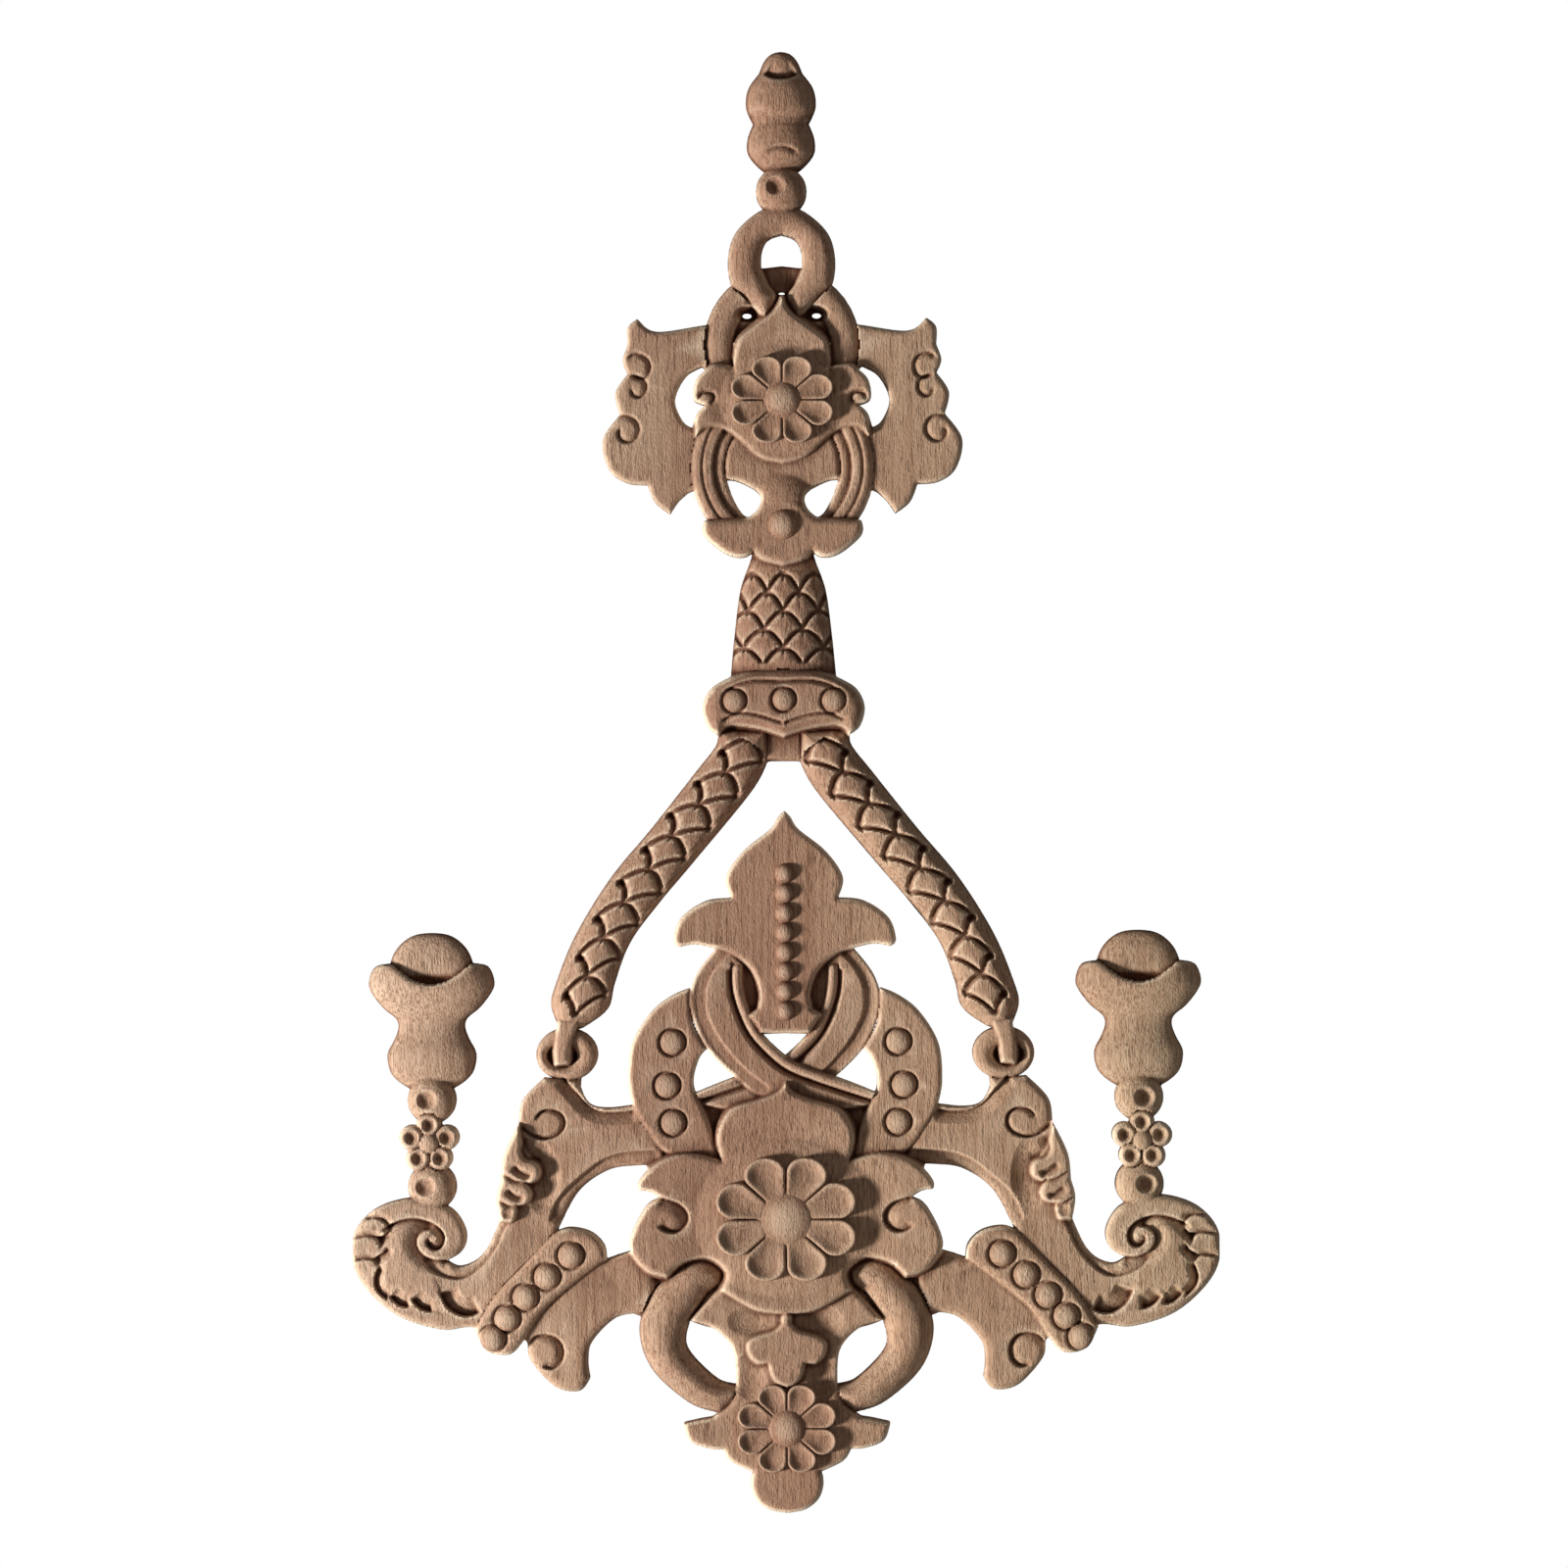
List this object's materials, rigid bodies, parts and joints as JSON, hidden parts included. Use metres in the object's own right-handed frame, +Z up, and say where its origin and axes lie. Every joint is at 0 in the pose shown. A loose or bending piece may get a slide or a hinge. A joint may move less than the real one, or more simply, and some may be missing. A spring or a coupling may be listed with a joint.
{
  "type": "carved wood applique",
  "caption": "Flat-backed carved wood applique shaped like a hanging lamp: medallions with flowers, scaly ropes, scrolled arms with cup finials and open gaps between them.",
  "frame": {"origin": "on the flat back, behind the centre of the large rosette", "axes": "+Z up along the long middle line, -Y out of the carved front, +Y out of the flat back, +X to the viewer's right"},
  "size_m": [0.2212, 0.015, 0.373],
  "materials": {
    "wood": "matte"
  },
  "bodies": {
    "root": {"carved_applique": "wood"}
  },
  "joints": []
}
